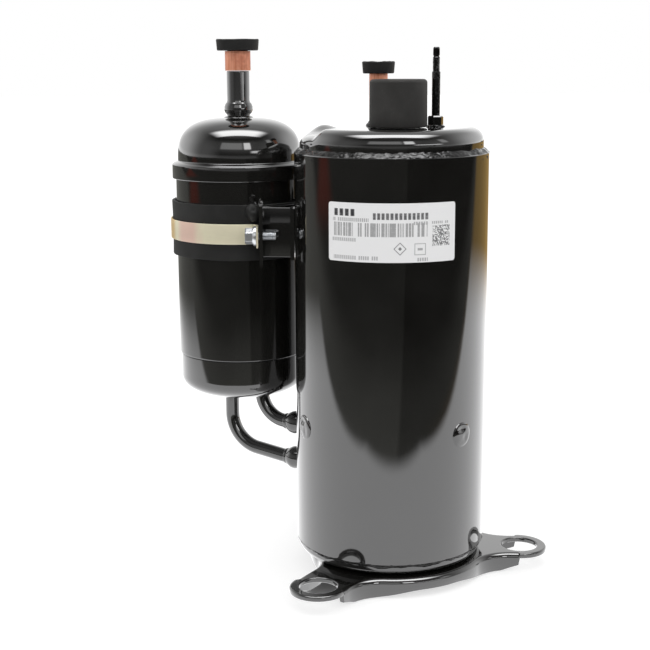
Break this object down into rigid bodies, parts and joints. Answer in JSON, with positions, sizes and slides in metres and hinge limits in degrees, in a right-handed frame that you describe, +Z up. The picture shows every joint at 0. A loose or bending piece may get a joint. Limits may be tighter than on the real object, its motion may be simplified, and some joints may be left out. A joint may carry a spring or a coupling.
{
  "type": "refrigeration rotary compressor",
  "caption": "Hermetic rotary refrigeration compressor: upright black steel shell on a three-eared base plate, with a suction accumulator strapped to its side.",
  "frame": {"origin": "on the axis of the main shell, on the flat underside of its bottom cap, at the level of the floor that the base plate's turned-down edge stands on", "axes": "+Z up along the shell's axis; +X to the right when the name label faces the viewer; the accumulator stands 150 degrees round from +X towards +Y"},
  "size_m": [0.2372, 0.1836, 0.3261],
  "materials": {
    "black_enamel": "gloss",
    "painted_weld": "gloss",
    "label_paper": "satin",
    "black_rubber": "matte",
    "cover_rubber": "matte",
    "copper_tube": "satin",
    "yellow_zinc": "satin",
    "bright_zinc": "gloss",
    "pressed_steel": "satin",
    "machined_iron": "satin",
    "ground_steel": "gloss",
    "brass_weight": "satin",
    "laminated_steel": "matte",
    "enamelled_copper": "satin",
    "cast_aluminium": "satin",
    "lead_sleeving": "matte"
  },
  "bodies": {
    "housing": {"shell_tube": "black_enamel", "top_cap": "black_enamel", "bottom_cap": "black_enamel", "base_plate": "black_enamel", "cover_stud": "black_enamel", "accumulator_tank": "black_enamel", "accumulator_top": "black_enamel", "accumulator_bottom": "black_enamel", "inlet_pipe": "black_enamel", "outlet_tube_upper": "black_enamel", "outlet_tube_lower": "black_enamel", "nipple_upper": "black_enamel", "nipple_lower": "black_enamel", "holder_bracket": "black_enamel", "top_seam_weld": "painted_weld", "name_label": "label_paper", "rubber_sleeve": "black_rubber", "discharge_pipe": "copper_tube", "inlet_stub": "copper_tube", "strap_band": "yellow_zinc", "strap_screw": "bright_zinc", "terminal_pin_1": "bright_zinc", "terminal_pin_2": "bright_zinc", "terminal_pin_3": "bright_zinc", "terminal_body": "pressed_steel", "accumulator_baffle": "pressed_steel", "inlet_strainer": "pressed_steel", "upper_muffler": "pressed_steel", "lower_muffler": "pressed_steel", "upper_retainer": "pressed_steel", "lower_retainer": "pressed_steel", "pump_bolt_1": "pressed_steel", "pump_bolt_2": "pressed_steel", "pump_bolt_3": "pressed_steel", "pump_bolt_4": "pressed_steel", "pump_bolt_5": "pressed_steel", "upper_cylinder": "machined_iron", "lower_cylinder": "machined_iron", "main_bearing": "machined_iron", "lower_bearing": "machined_iron", "middle_plate": "machined_iron", "upper_vane_spring": "ground_steel", "lower_vane_spring": "ground_steel", "stator_core": "laminated_steel", "stator_winding": "enamelled_copper", "lead_harness": "lead_sleeving"},
    "crank": {"crankshaft": "machined_iron", "rotor_core": "laminated_steel", "rotor_cage": "cast_aluminium", "upper_balance_weight": "brass_weight", "lower_balance_weight": "brass_weight"},
    "upper_roller": {"upper_roller": "machined_iron"},
    "lower_roller": {"lower_roller": "machined_iron"},
    "upper_vane": {"upper_vane": "ground_steel"},
    "lower_vane": {"lower_vane": "ground_steel"},
    "upper_reed": {"upper_reed": "ground_steel"},
    "lower_reed": {"lower_reed": "ground_steel"},
    "suction_plug": {"suction_plug": "black_rubber"},
    "discharge_plug": {"discharge_plug": "black_rubber"},
    "terminal_cover": {"terminal_cover": "cover_rubber"}
  },
  "joints": [
    {"name": "crank_spin", "type": "hinge", "parent": "housing", "child": "crank", "pos_m": [0, 0, 0.07], "axis": [0, 0, 1], "continuous": true},
    {"name": "upper_roller_spin", "type": "hinge", "parent": "crank", "child": "upper_roller", "pos_m": [-0.00052, -0.00366, 0.0813], "axis": [0, 0, 1], "continuous": true},
    {"name": "lower_roller_spin", "type": "hinge", "parent": "crank", "child": "lower_roller", "pos_m": [0.00052, 0.00366, 0.0575], "axis": [0, 0, 1], "continuous": true},
    {"name": "upper_vane_slide", "type": "slide", "parent": "housing", "child": "upper_vane", "axis": [0.9903, -0.1392, 0], "range_m": [0, 0.0037], "stiffness_N_per_m": 300, "deforming": ["upper_vane_spring"]},
    {"name": "lower_vane_slide", "type": "slide", "parent": "housing", "child": "lower_vane", "axis": [0.9903, -0.1392, 0], "range_m": [0, 0.0037], "stiffness_N_per_m": 300, "deforming": ["lower_vane_spring"]},
    {"name": "upper_reed_lift", "type": "hinge", "parent": "housing", "child": "upper_reed", "pos_m": [-0.00334, -0.02377, 0.0991], "axis": [0.6361, 0.7716, 0], "range_deg": [0, 7], "stiffness_Nm_per_rad": 0.05},
    {"name": "lower_reed_lift", "type": "hinge", "parent": "housing", "child": "lower_reed", "pos_m": [-0.00334, -0.02377, 0.0397], "axis": [-0.6361, -0.7716, 0], "range_deg": [0, 7], "stiffness_Nm_per_rad": 0.05},
    {"name": "suction_plug_pull", "type": "slide", "parent": "housing", "child": "suction_plug", "axis": [0, 0, 1], "range_m": [0, 0.022]},
    {"name": "discharge_plug_pull", "type": "slide", "parent": "housing", "child": "discharge_plug", "axis": [0, 0, 1], "range_m": [0, 0.022]},
    {"name": "terminal_cover_pull", "type": "slide", "parent": "housing", "child": "terminal_cover", "axis": [0, 0, 1], "range_m": [0, 0.036]}
  ],
  "couplings": [
    {"joint": "upper_roller_spin", "follows": "crank_spin", "ratio": -1.2105},
    {"joint": "lower_roller_spin", "follows": "crank_spin", "ratio": -1.2105}
  ]
}
